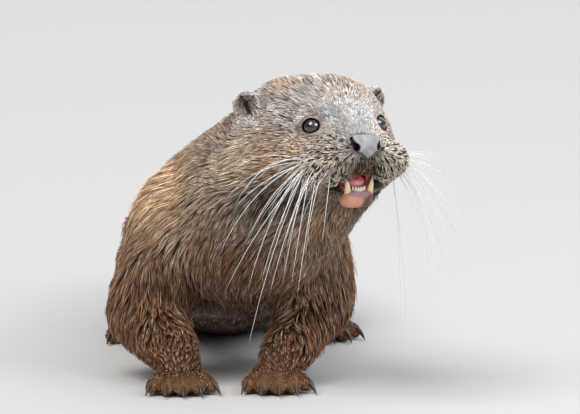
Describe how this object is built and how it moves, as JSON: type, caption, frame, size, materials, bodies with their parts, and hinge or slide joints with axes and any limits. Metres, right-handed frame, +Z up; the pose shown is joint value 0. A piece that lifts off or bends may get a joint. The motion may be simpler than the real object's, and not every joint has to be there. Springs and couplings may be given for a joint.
{
  "type": "eurasian otter",
  "caption": "Life-size still model of a Eurasian otter lying with its chest raised on bent forelegs, head up and turned, mouth slightly open.",
  "frame": {"origin": "middle of the bounding box's underside, on the floor", "axes": "+X the way the chest faces, +Y the animal's left, +Z up"},
  "size_m": [0.9466, 0.2446, 0.2012],
  "materials": {
    "body_coat": "wet brown guard hairs with paler tips, clumped in locks",
    "face_coat": "short greyish-brown hair lying close",
    "nose_skin": "bare, damp, finely pebbled grey skin",
    "eye_gloss": "wet and glossy, near black",
    "tooth_enamel": "glossy ivory, yellower at the root",
    "mouth_lining": "wet pink",
    "claw_horn": "smooth dark horn"
  },
  "bodies": {
    "root": {"tail_tip": "body_coat", "tail_middle": "body_coat", "tail_base": "body_coat", "rump": "body_coat", "chest": "body_coat", "neck": "body_coat", "foreleg_left": "body_coat", "foreleg_right": "body_coat", "hindleg_left": "body_coat", "hindleg_right": "body_coat", "forepaw_left": "body_coat", "forepaw_right": "body_coat", "hindpaw_left": "body_coat", "hindpaw_right": "body_coat", "head": "face_coat", "lower_jaw": "face_coat", "ear_left": "face_coat", "ear_right": "face_coat", "nose": "nose_skin", "eye_left": "eye_gloss", "eye_right": "eye_gloss", "incisors": "tooth_enamel", "canine_left": "tooth_enamel", "canine_right": "tooth_enamel", "tongue": "mouth_lining", "claw_fore_left_1": "claw_horn", "claw_fore_left_2": "claw_horn", "claw_fore_left_3": "claw_horn", "claw_fore_left_4": "claw_horn", "claw_fore_left_5": "claw_horn", "claw_fore_right_1": "claw_horn", "claw_fore_right_2": "claw_horn", "claw_fore_right_3": "claw_horn", "claw_fore_right_4": "claw_horn", "claw_fore_right_5": "claw_horn", "claw_hind_left_1": "claw_horn", "claw_hind_left_2": "claw_horn", "claw_hind_left_3": "claw_horn", "claw_hind_left_4": "claw_horn", "claw_hind_left_5": "claw_horn", "claw_hind_right_1": "claw_horn", "claw_hind_right_2": "claw_horn", "claw_hind_right_3": "claw_horn", "claw_hind_right_4": "claw_horn", "claw_hind_right_5": "claw_horn"}
  },
  "joints": []
}
